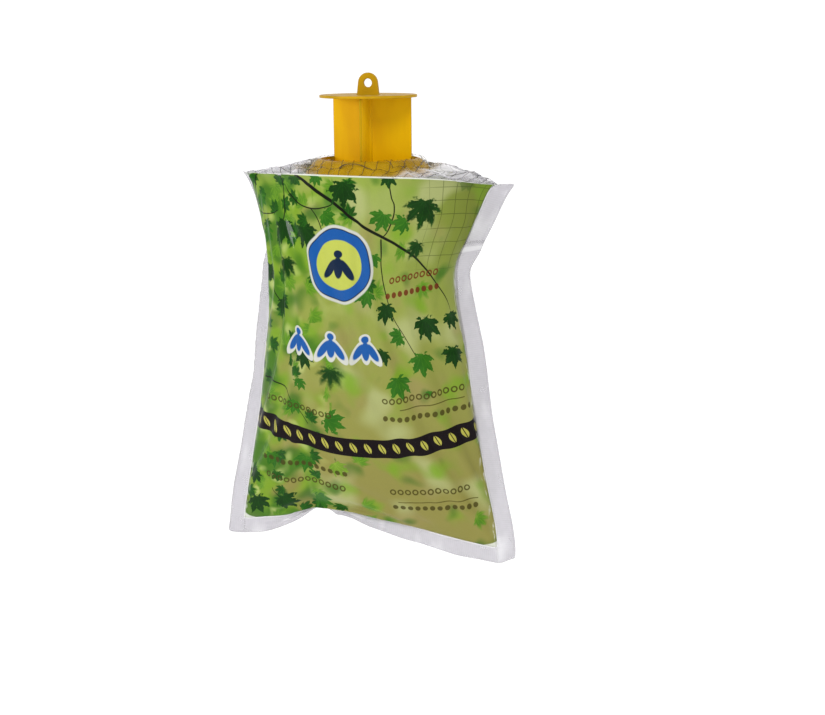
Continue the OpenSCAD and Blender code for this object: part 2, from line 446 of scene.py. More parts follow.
def refined(points, faces, parts, pattern):
    """Subdivides the whole film at once, so that its pieces still meet edge to edge when cut apart."""
    piece = make_object("whole", points, faces)
    mesh = piece.data
    mesh.polygons.foreach_set("material_index", np.array(parts, np.int32))
    layer = mesh.uv_layers.new(name="pattern")
    corner = np.zeros(len(mesh.loops), int)
    mesh.loops.foreach_get("vertex_index", corner)
    layer.data.foreach_set("uv", (pattern[corner][:, [0, 2]] / MM).astype(np.float32).ravel())
    for _ in range(max(parts) + 1):
        mesh.materials.append(None)
    finer = piece.modifiers.new("finer", "SUBSURF")
    finer.levels = finer.render_levels = 1
    finer.uv_smooth = "NONE"
    graph = bpy.context.evaluated_depsgraph_get()
    fine = bpy.data.meshes.new_from_object(piece.evaluated_get(graph))
    bpy.data.objects.remove(piece)
    return fine


def cut_out(name, fine, part):
    """One part of the refined film as its own piece, with its thickness."""
    corners = np.zeros(len(fine.loops), int)
    fine.loops.foreach_get("vertex_index", corners)
    uv = np.zeros(len(fine.loops) * 2, np.float32)
    fine.uv_layers["pattern"].data.foreach_get("uv", uv)
    keep = [f for f in fine.polygons if f.material_index == part]
    loops = np.concatenate([np.arange(f.loop_start, f.loop_start + f.loop_total) for f in keep])
    used, local = np.unique(corners[loops], return_inverse=True)
    points = [fine.vertices[int(v)].co for v in used]
    faces, first = [], 0
    for f in keep:
        faces.append(local[first:first + f.loop_total].tolist())
        first += f.loop_total
    piece = make_object(name, points, faces)
    layer = piece.data.uv_layers.new(name="pattern")
    layer.data.foreach_set("uv", uv.reshape(-1, 2)[loops].ravel())
    shade_smooth(piece)
    thicken(piece, FILM_THICK)
    return piece


# ---------------------------------------------------------------- the gusset film over the collar

# How far down inside the side seams the gusset is folded, and cells along that fold.
FOLD_DEPTH = 42 * MM
FOLD_CELLS = 14

# Cells from the edge to the collar's shoulder and over the shoulder to its lip.
SPAN_CELLS = 24
DOME_CELLS = 7
LIP_R = 35.8 * MM
LEAVE_R = 41 * MM
DOME_R = 45 * MM

# Height that the film sags to at both ends, and of its roll round the lip.
END_HEIGHT = -55 * MM
RING_RISE = 2.6 * MM

# The grid's spread at the long edges and at the shoulder, so that its squares stay even.
RIM_SPREAD = np.array([1.0, 1.12])
SHOULDER_SPREAD = 1.15


def measure_dome():
    """Top of the collar's shoulder at some radii, from the CAD gusset that lies on it."""
    shape = surface("top_gusset")
    radii = np.linspace(LIP_R, DOME_R, 24)
    heights = []
    for r in radii:
        hit = shape.ray_cast(Vector((0.2 * MM, -r, 0.0)), Vector((0, 0, -1)))[0]
        heights.append(hit.z if hit else heights[-1])
    return radii, np.array(heights)


DOME = measure_dome()


def dome_height(r):
    return np.interp(r, *DOME)


def gusset_loop(points, front, back):
    """The gusset's outer edge in space and in the flat: along the front film, down and up inside the seam,
    along the back film, and down and up inside the other seam."""
    inside = np.arange(WELD_CELLS, WELD_CELLS + COLS + 1)
    across = ((inside - WELD_CELLS) / COLS - 0.5) * FLAT_W
    steps = np.arange(1, FOLD_CELLS) / FOLD_CELLS
    row = (1 - np.abs(2 * steps - 1)) * FOLD_DEPTH / FLAT_H * ROWS
    low = row.astype(int)
    share = (row - low)[:, None]

    def seam_run(column):
        run = points[front[:, column]]
        return run[low] * (1 - share) + run[low + 1] * share

    rising = mix(-FOLD_DEPTH, FOLD_DEPTH, steps)
    ends = np.full(len(steps), FLAT_W / 2)
    long_side = np.full(len(across), FOLD_DEPTH)
    loop = [
        points[front[0, inside]], seam_run(inside[-1]),
        points[back[0, inside[::-1]]], seam_run(inside[0]),
    ]
    flat = [
        np.stack([across, -long_side], 1), np.stack([ends, rising], 1),
        np.stack([across[::-1], long_side], 1), np.stack([-ends, -rising], 1),
    ]
    return np.concatenate(loop), np.concatenate(flat)


def gusset_span(loop, flat, way):
    """Rows of film from the bag's edge up to the collar's shoulder, as curves with one control point."""
    rim = np.column_stack([way * LEAVE_R, np.full(len(way), dome_height(LEAVE_R))])
    sideways = np.abs(way[:, 0]) ** 3
    shoulder = mix(rim, loop, 0.62 + 0.12 * sideways[:, None])
    shoulder[:, 2] = mix(mix(rim[:, 2], loop[:, 2], 0.5), END_HEIGHT, sideways)
    steep = smooth(way[:, 0], 0.3, 0.9)[:, None] * np.array([0, 0, 1])
    rows, patterns = [], []
    for q in np.linspace(0, 1, SPAN_CELLS + 1):
        p = mix(q, 1 - (1 - q) ** 2, steep)
        rows.append((1 - p) ** 2 * loop + 2 * p * (1 - p) * shoulder + p * p * rim)
        patterns.append(mix(flat * RIM_SPREAD, way * LIP_R * SHOULDER_SPREAD, q))
    return rows, patterns


def gusset_roll(way):
    """Rows of film over the collar's shoulder, rolled up with a frill that ends at the lip."""
    round_lip = np.column_stack([way * LIP_R, np.zeros(len(way))])
    frill = RING_RISE * (0.75 + 0.25 * Creases(5, 9 * MM, 17 * MM).at(round_lip))
    rows, patterns = [], []
    for q in np.linspace(0, 1, DOME_CELLS + 1)[1:]:
        r = mix(LEAVE_R, LIP_R, q)
        rise = math.sin(math.pi * q**0.8) ** 0.7
        rows.append(np.column_stack([way * r, dome_height(r) + frill * rise]))
        patterns.append(way * LIP_R * mix(SHOULDER_SPREAD, 1, q))
    return rows, patterns


def gusset_lattice(points, front, back):
    """Rows of points and of flat places, and the faces between them."""
    loop, flat = gusset_loop(points, front, back)
    turn = np.arctan2(flat[:, 1] * FLAT_W / 2 / FOLD_DEPTH, flat[:, 0])
    way = np.stack([np.cos(turn), np.sin(turn)], 1)
    rows, patterns = (a + b for a, b in zip(gusset_span(loop, flat, way), gusset_roll(way)))
    count = len(loop)
    faces = []
    for j, i in np.ndindex(len(rows) - 1, count):
        n = (i + 1) % count
        faces.append([j * count + i, j * count + n, (j + 1) * count + n, (j + 1) * count + i])
    return np.array(rows), np.array(patterns), faces


def settle_gusset(goal, faces, shape):
    rows, count = shape
    start = goal * np.array([1.04, 1.04, 1.0])
    start += RNG.normal(0, 0.15 * MM, start.shape)
    pins = np.full((rows, count), 0.12)
    pins[0] = 1
    pins[-DOME_CELLS - 1:] = 1
    blown = np.ones(len(goal))
    piece = make_object("gusset_cloth", start, faces)
    return relax(piece, goal, pins.ravel(), blown, pressure=0.4, bending=0.05, frames=30, move=12)


def build_gusset(points, front, back):
    lattice, pattern, faces = gusset_lattice(points, front, back)
    rows, count = lattice.shape[:2]
    settled = lattice.reshape(-1, 3)
    settled = settle_gusset(settled, faces, (rows, count))
    inward = np.repeat(np.arange(rows) / (rows - 1), count)
    loose = smooth(inward, 0, 0.15) * (1 - 0.75 * smooth(inward, 0.72, 0.98))
    height = Creases(7, 18 * MM, 46 * MM).at(settled) * 0.6 * MM * loose
    settled = settled + vertex_normals(settled, faces) * height[:, None]
    r = np.hypot(settled[:, 0], settled[:, 1])
    lowest = dome_height(np.clip(r, LIP_R, DOME_R)) + 0.1 * MM
    settled[:, 2] = np.where(r < DOME_R + 1 * MM, np.maximum(settled[:, 2], lowest), settled[:, 2])
    piece = make_object("gusset_film", settled, faces)
    layer = piece.data.uv_layers.new(name="pattern")
    corners = np.array(faces).ravel()
    layer.data.foreach_set("uv", (pattern.reshape(-1, 2)[corners] / MM).astype(np.float32).ravel())
    shade_smooth(piece)
    thicken(piece, GUSSET_THICK)
    return piece


# ---------------------------------------------------------------- writing node trees as sums


class Sum:
    """A number in a material's node tree; arithmetic on it adds the Math nodes that work it out."""

    def __init__(self, sheet, socket):
        self.sheet, self.socket = sheet, socket

    def __add__(self, other):
        return self.sheet.math("ADD", self, other)

    def __sub__(self, other):
        return self.sheet.math("SUBTRACT", self, other)

    def __rsub__(self, other):
        return self.sheet.math("SUBTRACT", other, self)

    def __mul__(self, other):
        return self.sheet.math("MULTIPLY", self, other)

    def __truediv__(self, other):
        return self.sheet.math("DIVIDE", self, other)

    def __abs__(self):
        return self.sheet.math("ABSOLUTE", self)

    __radd__ = __add__
    __rmul__ = __mul__


class Sheet:
    """A node tree being drawn up: a material's, a group's or the world's."""

    def __init__(self, tree):
        self.tree = tree

    def node(self, kind, feeds=None, **settings):
        node = self.tree.nodes.new("ShaderNode" + kind)
        for key, value in settings.items():
            setattr(node, key, value)
        for key, value in (feeds or {}).items():
            self.feed(node.inputs[key], value)
        return node

    def feed(self, socket, value):
        if isinstance(value, Sum):
            self.tree.links.new(value.socket, socket)
        else:
            socket.default_value = value

    def result(self, node, output=0):
        return Sum(self, node.outputs[output])

    def math(self, kind, *values):
        return self.result(self.node("Math", dict(enumerate(values)), operation=kind))

    def clamped(self, value):
        return self.result(self.node("Clamp", {0: value}))

    def most(self, a, b):
        return self.math("MAXIMUM", a, b)

    def least(self, a, b):
        return self.math("MINIMUM", a, b)

    def radius(self, x, y):
        return self.math("SQRT", x * x + y * y)

    def step(self, value, low, high):
        """0 below low, 1 above high, and smooth between."""
        feeds = {0: value, 1: low, 2: high}
        return self.result(self.node("MapRange", feeds, interpolation_type="SMOOTHSTEP", clamp=False))

    def pattern(self):
        """Place on the flat film, in millimetres, as a vector."""
        return self.result(self.node("UVMap", uv_map="pattern"))

    def place(self):
        """Place in space, in millimetres, as a vector."""
        return self.scaled(self.result(self.node("TexCoord"), "Object"), 1 / MM)

    def scaled(self, vector, by):
        return self.result(self.node("VectorMath", {0: vector, "Scale": by}, operation="SCALE"))

    def vectors(self, kind, a, b):
        return self.result(self.node("VectorMath", {0: a, 1: b}, operation=kind))

    def moved(self, vector, by):
        return self.vectors("ADD", vector, by)

    def stretched(self, vector, by):
        return self.vectors("MULTIPLY", vector, by)

    def parts(self, vector):
        node = self.node("SeparateXYZ", {0: vector})
        return [Sum(self, out) for out in node.outputs]

    def noise(self, vector, size, detail=2.0, rough=0.5, kind=0):
        """Noise from 0 to 1 (or its colour, with kind 1) with features of about the given size."""
        feeds = {"Vector": vector, "Scale": 1 / size, "Detail": detail, "Roughness": rough}
        return self.result(self.node("TexNoise", feeds), kind)

    def blend(self, share, a, b):
        """Colour a where share is 0 and b where it is 1."""
        node = self.node("Mix", data_type="RGBA")
        self.feed(node.inputs[0], share)
        self.feed(node.inputs[6], a)
        self.feed(node.inputs[7], b)
        return self.result(node, 2)

    def bump(self, height, distance):
        return self.result(self.node("Bump", {"Height": height, "Distance": distance, "Strength": 1.0}))

    def slanted(self):
        """0 where the surface faces the eye and 1 where it is seen edge on."""
        return self.result(self.node("LayerWeight", {"Blend": 0.5}), "Facing")

    def edges(self, radius):
        """About 1 on the sharp edges of a solid and 0 on its faces."""
        bevel = self.result(self.node("Bevel", {"Radius": radius}, samples=4))
        plain = self.result(self.node("NewGeometry"), "Normal")
        facing = self.node("VectorMath", {0: bevel, 1: plain}, operation="DOT_PRODUCT")
        return self.step(1.0 - self.result(facing, "Value"), 0.01, 0.1)


class Skin(Sheet):
    """A material with one Principled surface."""

    def __init__(self, name):
        self.material = bpy.data.materials.new(name)
        self.material.use_nodes = True
        super().__init__(self.material.node_tree)

    def finish(self, **inputs):
        principled = self.tree.nodes["Principled BSDF"]
        for key, value in inputs.items():
            self.feed(principled.inputs[key.replace("_", " ").title().replace("Ior", "IOR")], value)
        return self.material


def node_group(name, inputs, draw):
    """A node group for one colour: draw(sheet, *inputs) gives its result."""
    tree = bpy.data.node_groups.new(name, "ShaderNodeTree")
    for key, kind in inputs.items():
        tree.interface.new_socket(key, in_out="INPUT", socket_type="NodeSocket" + kind)
    tree.interface.new_socket("Result", in_out="OUTPUT", socket_type="NodeSocketColor")
    sheet = Sheet(tree)
    start = tree.nodes.new("NodeGroupInput")
    value = draw(sheet, *[Sum(sheet, start.outputs[key]) for key in inputs])
    tree.links.new(value.socket, tree.nodes.new("NodeGroupOutput").inputs[0])
    return tree


def tint(code):
    """Colour from a hex code, as linear numbers."""
    values = [int(code[k:k + 2], 16) / 255 for k in (1, 3, 5)]
    return (*[v / 12.92 if v <= 0.04045 else ((v + 0.055) / 1.055) ** 2.4 for v in values], 1.0)


# ---------------------------------------------------------------- the print: leaves and twigs

# Leaves of the print: place of the middle (mm), length of the middle lobe (mm), turn (degrees, 0 is up),
# tone (0 dark, 1 mid, 2 light) and softness of the outline (mm).
LEAVES = (
    (-26, 0, 10, 190, 1, 0.6), (-88, -19, 12, 165, 1, 0.6), (-80, -42, 13, 170, 1, 0.5),
    (-20, -27, 12, 120, 1, 0.5), (54, -17, 21, 190, 0, 2.2), (55, -46, 13, 205, 0, 2.6),
    (-55, -62, 15, 170, 0, 3.0), (-17, -136, 15, 180, 0, 5.0), (-57, -36, 17, 190, 0, 0.7),
    (-37, -38, 17, 160, 0, 0.7), (-83, -68, 14, 190, 0, 0.8), (-64, -92, 14, 150, 0, 0.8),
    (-5, -5, 19, 175, 0, 0.8), (29, 2, 11, 180, 0, 0.5), (26, -25, 14, 205, 1, 0.4),
    (41, -30, 12, 235, 1, 0.5), (18, -53, 12, 190, 1, 0.5), (14, -78, 14, 200, 1, 0.4),
    (31, -89, 15, 185, 0, 0.5), (65, -99, 18, 170, 0, 0.4), (87, -96, 13, 160, 0, 0.4),
    (84, -120, 15, 182, 0, 0.4), (43, -110, 12, 240, 1, 0.4), (26, -121, 12, 205, 0, 0.4),
    (57, -124, 17, 175, 1, 0.4), (36, -141, 17, 168, 1, 0.4), (61, -150, 5, 190, 1, 0.4),
    (-38, -127, 14, 190, 0, 1.0), (-43, -149, 10, 185, 1, 0.6), (-22, -175, 17, 110, 1, 0.4),
    (-48, -168, 12, 200, 1, 0.8), (-71, -209, 13, 170, 1, 0.6), (-41, -213, 16, 190, 1, 0.5),
    (-17, -212, 13, 150, 2, 0.6), (-87, -248, 18, 165, 0, 0.8), (-63, -247, 17, 145, 0, 0.9),
    (-37, -251, 15, 115, 1, 0.8), (-90, -226, 13, 185, 0, 1.0),
)
TONES = (("#123A0E", "#2A601A"), ("#2A6B1A", "#558F2B"), ("#6A962E", "#9DB84C"))

# Twigs of the print: points along each (mm), with its half thickness at the start and at the end.
TWIGS = (
    (((-46, 1), (-40, -4), (-11, -19), (3, -29), (25, -41),
      (37, -47), (60, -59), (84, -83), (90, -97)), 1.25, 0.45),
    (((-84, 1), (-94, -12), (-97, -26), (-94, -40), (-86, -58)), 0.5, 0.4),
    (((-63, 1), (-59, -15), (-58, -32), (-64, -48), (-56, -64)), 0.4, 0.3),
    (((-57, -10), (-51, -17), (-32, -24), (-18, -22), (-12, -19)), 0.5, 0.35),
    (((-31, -24), (-25, -30), (-21, -38)), 0.4, 0.3),
    (((-94, -28), (-83, -32), (-65, -29)), 0.35, 0.3),
    (((29, 0), (31, -14), (33, -21), (31, -31), (24, -42)), 0.35, 0.45),
    (((31, -32), (36, -32), (41, -30)), 0.3, 0.2),
    (((24, -42), (25, -57), (28, -70), (36, -95), (46, -112), (56, -131)), 0.45, 0.25),
    (((-88, -152), (-65, -154), (-49, -171), (-37, -184)), 0.45, 0.35),
    (((-76, -82), (-66, -94), (-57, -104)), 0.4, 0.25),
    (((-72, -238), (-66, -247), (-55, -253)), 0.4, 0.3),
)
TWIG_BROWN = "#1B2410"

# Angle between a leaf's lobes.
LOBE_TURN = math.radians(33)


def leaf_shape(sheet, spot):
    """Palmate leaf of unit size at a local spot: how far inside its outline, and how close to a rib."""
    x, y, _ = sheet.parts(spot)
    out = sheet.result(sheet.node("VectorMath", {0: spot}, operation="LENGTH"), "Value")
    sector = sheet.math("ARCTAN2", x, y) / LOBE_TURN
    lobe = sheet.math("ROUND", sector)
    off = (sector - lobe) * LOBE_TURN
    length = sheet.most(1.0 - lobe * lobe * 0.065, 0.1)
    along = out * sheet.math("COSINE", off)
    across = abs(out * sheet.math("SINE", off))
    share = along / length
    teeth = sheet.math("PINGPONG", along, 0.06) * 0.3
    taper = 1.3 - sheet.least(share, 1.0) * 0.8
    half = share * (1.0 - share) * taper * length + teeth * (1.0 - share)
    return half - across, across


def leaf_paint(sheet, base, spot, size, soft, strength, low, high, shade):
    inside, rib = leaf_shape(sheet, spot)
    mask = sheet.step(inside * size, soft * -0.5, soft * 0.5) * strength
    vein = sheet.step(rib * size, 0.32, 0.05) * 0.45
    return sheet.blend(mask, base, sheet.blend(sheet.clamped(shade + vein), low, high))


LEAF_INPUTS = {"Base": "Color", "Spot": "Vector", "Size": "Float", "Soft": "Float", "Strength": "Float",
               "Low": "Color", "High": "Color", "Shade": "Float"}
LEAF = node_group("leaf", LEAF_INPUTS, leaf_paint)


def draw_leaf(sheet, base, spot, size, soft, strength, tones, shade):
    """One leaf painted over what is there, between two tones."""
    values = (base, spot, size, soft, strength, tint(tones[0]), tint(tones[1]), shade)
    return sheet.result(sheet.node("Group", dict(zip(LEAF_INPUTS, values)), node_tree=LEAF))


def draw_scatter(sheet, base, spot, cell, size, soft, tones, shade, where):
    """Leaves thrown at random, one in each cell, turned at random."""
    feeds = {"Vector": spot, "Scale": 1 / cell, "Randomness": 1.0}
    cells = sheet.node("TexVoronoi", feeds, voronoi_dimensions="2D")
    middle = sheet.result(cells, "Position")
    away = sheet.scaled(sheet.vectors("SUBTRACT", spot, middle), 1 / size)
    chance, turn, _ = sheet.parts(sheet.result(cells, "Color"))
    turned = sheet.node("VectorRotate", {"Vector": away, "Angle": turn * 6.28}, rotation_type="Z_AXIS")
    strength = sheet.step(where - chance, 0, 0.02)
    return draw_leaf(sheet, base, sheet.result(turned), size, soft, strength, tones, shade)


def through(sheet, value, places):
    """A smooth curve through some (value, height) places."""
    low, reach = np.min(places, axis=0), np.ptp(places, axis=0)
    curve = sheet.node("FloatCurve", {"Value": sheet.clamped((value - float(low[0])) / float(reach[0]))})
    line = curve.mapping.curves[0]
    for _ in range(len(places) - 2):
        line.points.new(0.5, 0.5)
    for point, place in zip(line.points, places):
        point.location = (place - low) / reach
    curve.mapping.update()
    return sheet.result(curve) * float(reach[1]) + float(low[1])


def draw_twig(sheet, u, v, base, points, start, end):
    """A twig as a smooth curve over the axis it runs along."""
    places = np.array(points, float)
    reach = np.ptp(places, axis=0)
    run, rise = (0, 1) if reach[0] > reach[1] else (1, 0)
    order = np.argsort(places[:, run])
    thick = (start, end) if order[0] == 0 else (end, start)
    places = places[order][:, [run, rise]]
    axis, height = (u, v) if run == 0 else (v, u)
    share = (axis - float(places[0, 0])) / float(reach[run])
    off = abs(height - through(sheet, axis, places))
    slant = float(reach[run] / math.hypot(*reach))
    half = sheet.clamped(share) * (thick[1] - thick[0]) + thick[0]
    mask = sheet.step(half - off * slant, -0.25, 0.2)
    inside = sheet.step(0.5 - abs(share - 0.5), 0, 0.01)
    return sheet.blend(mask * inside, base, tint(TWIG_BROWN))


# Soft patches of the backdrop in the order of painting: shift of the noise, its size (mm) and detail, how
# much likelier the patch is on the left, the levels it fades in between, its strength and its colour.
PATCHES = (
    ((0, 0, 0), 42, 1.0, 0.0, 0.5, 0.7, 0.8, "#BDC28C"),
    ((91, 17, 0), 38, 1.5, 0.0, 0.53, 0.75, 0.7, "#A99F6A"),
    ((5, 133, 0), 30, 1.5, 0.19, 0.54, 0.74, 0.85, "#8AB034"),
    ((-47, 61, 0), 24, 1.0, 0.21, 0.6, 0.78, 0.75, "#3E7A24"),
)


def backdrop(sheet, spot, u, v):
    """The blurred garden behind the leaves: yellow-green at the top, olive and straw lower down."""
    base = sheet.blend(sheet.step(v, 0, -240), tint("#A3B45C"), tint("#A29D5C"))
    right = sheet.step(u, 30, 100) * sheet.step(v, -110, -20)
    base = sheet.blend(right * 0.85, base, tint("#818A3C"))
    left = sheet.step(u, 20, -80)
    for shift, size, detail, leaning, low, high, strength, code in PATCHES:
        level = sheet.noise(sheet.moved(spot, shift), size, detail) + left * leaning
        base = sheet.blend(sheet.step(level, low, high) * strength, base, tint(code))
    glow = sheet.step(sheet.noise(sheet.moved(spot, (71, -29, 0)), 19, 1.0), 0.56, 0.72)
    return sheet.blend(glow * left * 0.75, base, tint("#D2DB92"))


def leafy_ground(sheet, flat, leaves, twigs, shift):
    """The backdrop, two layers of thrown leaves that thicken to the left, the twigs and the placed leaves."""
    u, v, _ = sheet.parts(flat)
    wobble = sheet.vectors("SUBTRACT", sheet.noise(flat, 3.2, 1.0, kind=1), (0.5, 0.5, 0.5))
    spot = sheet.moved(flat, sheet.scaled(wobble, 2.0))
    shade = sheet.noise(flat, 9, 2.0)
    base = backdrop(sheet, sheet.moved(flat, (shift, shift * 0.7, 0)), u, v)
    left, top = sheet.step(u, 45, -75), sheet.step(v, -150, -40)
    far = sheet.clamped(left * 0.75 + top * 0.15 - 0.12)
    base = draw_scatter(sheet, base, spot, 21, 11, 3.4, ("#4C8424", "#86AE3C"), shade, far + 0.12)
    spot_2 = sheet.moved(spot, (37, 11, 0))
    base = draw_scatter(sheet, base, spot_2, 17, 10, 1.4, ("#163F12", "#3B7A22"), shade, far)
    for points, start, end in twigs:
        base = draw_twig(sheet, u, v, base, points, start, end)
    for x, y, size, turn, tone, soft in leaves:
        feeds = {"Vector": spot, "Location": (x, y, 0), "Rotation": (0, 0, -math.radians(turn)),
                 "Scale": (size, size, 1)}
        local = sheet.result(sheet.node("Mapping", feeds, vector_type="TEXTURE"))
        base = draw_leaf(sheet, base, local, size, soft, 1.0, TONES[tone], shade * 0.9)
    return base


# ---------------------------------------------------------------- the print: badge, band and marks

# Colours of the marks.
RIM_WHITE = "#D5D6CE"
SIGN_BLUE = "#2A6BB0"
OLIVE = "#57501A"
RUST = "#7C2A14"

# The badge's middle and radius, and the row of three flies: its middle, height, pitch and size (mm).
BADGE_X, BADGE_Y, BADGE_R = -8, -61, 27
FLY_X, FLY_Y, FLY_PITCH, FLY_SIZE = -16.0, -119, 27.0, 13.5

# The dark band: half its width, the pitch of its leaves, and its middle line (mm), drawn so that it looks
# even where the film bulges.
BAND_HALF = 7.3
BAND_PITCH = 11.0
BAND_LEVEL = np.array((
    (-99, -187), (-80, -185), (-66, -187.5), (-56, -191.5), (-45, -195.5), (-20, -195.8), (0, -196),
    (24, -195.5), (38, -194), (48, -191.8), (59, -189), (70, -185.6), (81, -182.4), (99, -178.5),
), float)
BAND_LOW = 195.5

# Rows of small marks: start, height (mm), count and kind. The red rows rise to the right; the olive rows and
# the rules (middle, height, half length) follow the band.
MARK_PITCH = 5.6
RED_ROWS = ((34, -77, 8, "ring"), (30, -88, 9, "drop"))
RED_SLOPE = 0.14
OLIVE_ROWS = (
    (22, -158, 12, "ring"), (22, -173, 13, "drop"), (22, -231, 11, "ring"), (22, -246, 12, "drop"),
    (-84, -172, 12, "ring"), (-80, -220, 13, "drop"), (-78, -234, 12, "ring"),
)
RULES = ((62, -165, 26), (58, -240, 31))


def hexagon(sheet, x, y, turn):
    """Distance measure with the rounded shape of a hexagon: 1 on the outline of one with unit radius."""
    sharpness = 7.0
    total = 0.0
    for k in range(3):
        a = turn + k * math.pi / 3
        side = abs(x * math.cos(a) + y * math.sin(a))
        total = sheet.math("POWER", side, sharpness) + total
    return sheet.math("POWER", total, 1 / sharpness)


def fly_mark(sheet, x, y):
    """Plain fly seen from above, about 2 units tall: how far inside its outline."""
    sideways = abs(x)

    def oval(cx, cy, rx, ry, turn=0.0):
        px, py = sideways - cx, y - cy
        a = px * (math.cos(turn) / rx) + py * (math.sin(turn) / rx)
        b = py * (math.cos(turn) / ry) - px * (math.sin(turn) / ry)
        return (1.0 - sheet.radius(a, b)) * min(rx, ry)

    body = oval(0, -0.12, 0.24, 0.52)
    head = oval(0, 0.5, 0.22, 0.19)
    wing = oval(0.42, -0.2, 0.2, 0.58, 0.62)
    return sheet.most(sheet.most(body, head), wing)


def badge(sheet, base, u, v):
    """White-rimmed blue hexagon with a plain dark fly on a yellow-green disc."""
    x, y = (u - BADGE_X) / BADGE_R, (v - BADGE_Y) / BADGE_R
    out = hexagon(sheet, x, y, 0.16)
    base = sheet.blend(sheet.step(out, 1.0, 0.96), base, tint(RIM_WHITE))
    base = sheet.blend(sheet.step(out, 0.92, 0.89), base, tint("#1A2C45"))
    base = sheet.blend(sheet.step(out, 0.895, 0.865), base, tint(SIGN_BLUE))
    base = sheet.blend(sheet.step(sheet.radius(x, y), 0.66, 0.63), base, tint("#C9D06A"))
    fly = fly_mark(sheet, x / 0.56, y / 0.56)
    return sheet.blend(sheet.step(fly, -0.01, 0.03), base, tint("#1D3553"))


def fly_row(sheet, base, u, v):
    """Three plain blue flies with white rims."""
    x = sheet.math("WRAP", u - FLY_X - FLY_PITCH / 2, FLY_PITCH, 0.0) - FLY_PITCH / 2
    inside = sheet.step(abs(u - FLY_X), FLY_PITCH * 1.5, FLY_PITCH * 1.5 - 0.5)
    fly = fly_mark(sheet, x / FLY_SIZE, (v - FLY_Y) / FLY_SIZE)
    base = sheet.blend(sheet.step(fly, -0.12, -0.09) * inside, base, tint("#D9DAD2"))
    return sheet.blend(sheet.step(fly, -0.02, 0.03) * inside, base, tint(SIGN_BLUE))


def band(sheet, base, u, v, level):
    """Dark band across the lower part with a row of small leaves."""
    off = v - level
    dark = sheet.step(abs(off), BAND_HALF + 0.15, BAND_HALF - 0.15)
    base = sheet.blend(dark, base, tint("#1E0F14"))
    x = sheet.math("WRAP", u - 4.0, BAND_PITCH, 0.0) - BAND_PITCH / 2
    lean = x + off * 0.45
    leaf = 1.0 - abs(lean) / 2.6 - sheet.math("POWER", abs(off) / 4.6, 2.0)
    rib = sheet.step(abs(lean), 0.28, 0.42)
    return sheet.blend(sheet.step(leaf, 0.0, 0.12) * rib, base, tint("#C3BF62"))


def rule(sheet, base, u, v, x, y, half):
    """A thin olive rule, centred on x."""
    line = sheet.step(abs(v - y), 0.5, 0.25) * sheet.step(abs(u - x), half, half - 0.6)
    return sheet.blend(line * 0.8, base, tint(OLIVE))


def mark_row(sheet, base, u, v, start, height, count, kind, ink):
    """A straight row of small plain marks: rings or drops."""
    x = sheet.math("WRAP", u - start, MARK_PITCH, 0.0) - MARK_PITCH / 2
    y = v - height
    r = sheet.radius(x, y)
    shape = sheet.step(abs(r - 1.8), 0.75, 0.35) if kind == "ring" else sheet.step(r - y * 0.3, 2.1, 1.7)
    half = count * MARK_PITCH / 2
    inside = sheet.step(abs(u - (start + half)), half, half - 0.3)
    return sheet.blend(shape * inside * 0.85, base, tint(ink))


def plain_marks(sheet, base, u, v, level):
    """Rows of small marks and two rules in the places of wording."""
    upper = v - u * RED_SLOPE
    lower = v - (level + BAND_LOW) * 0.7
    for row in RED_ROWS:
        base = mark_row(sheet, base, u, upper, *row, RUST)
    for row in OLIVE_ROWS:
        base = mark_row(sheet, base, u, lower, *row, OLIVE)
    for x, height, half in RULES:
        base = rule(sheet, base, u, lower, x, height, half)
    return base


# ---------------------------------------------------------------- film materials

# Brightness and contrast of the print on the film.
INK = 0.74
INK_CONTRAST = 1.22

# Pitch of the gusset film's grid, and of the grid that is printed near the upper right corner (mm).
GRID_PITCH = 8.0
PRINTED_GRID_PITCH = 9.5


def grid_lines(sheet, u, v, pitch, half):
    """Fine square grid of lines: 1 on a line."""
    wave = sheet.math("PINGPONG", u, pitch / 2)
    weft = sheet.math("PINGPONG", v, pitch / 2)
    return sheet.step(sheet.least(wave, weft), half * 1.6, half * 0.6)


def seam_glints_and_clear_film(sheet, base, flat, u, v):
    """Painted white glints close to the side welds, clear film in the bottom corners and a clear rim."""
    to_seam = SEAM_LINE - abs(u)
    glint_streak = sheet.noise(sheet.stretched(flat, (1.3, 0.35, 1)), 3.2, 3.0)
    # Painted glints: short white highlights on the film near the side seams.
    painted_glints = sheet.step(glint_streak, 0.52, 0.62) * sheet.step(to_seam, 5.0, 1.0) * sheet.step(v, 0, -60)
    corner = sheet.step(to_seam * 0.5 + (v - FOOT_LINE), 5.5, 4.5)
    rim = sheet.step(v, -1.3, -0.7) * 0.9
    # The painted glints and the clear film are whitened into the print together.
    clear = sheet.most(sheet.most(painted_glints * 0.6, corner * 0.8), rim)
    return sheet.blend(clear, base, tint("#F3F4EE"))


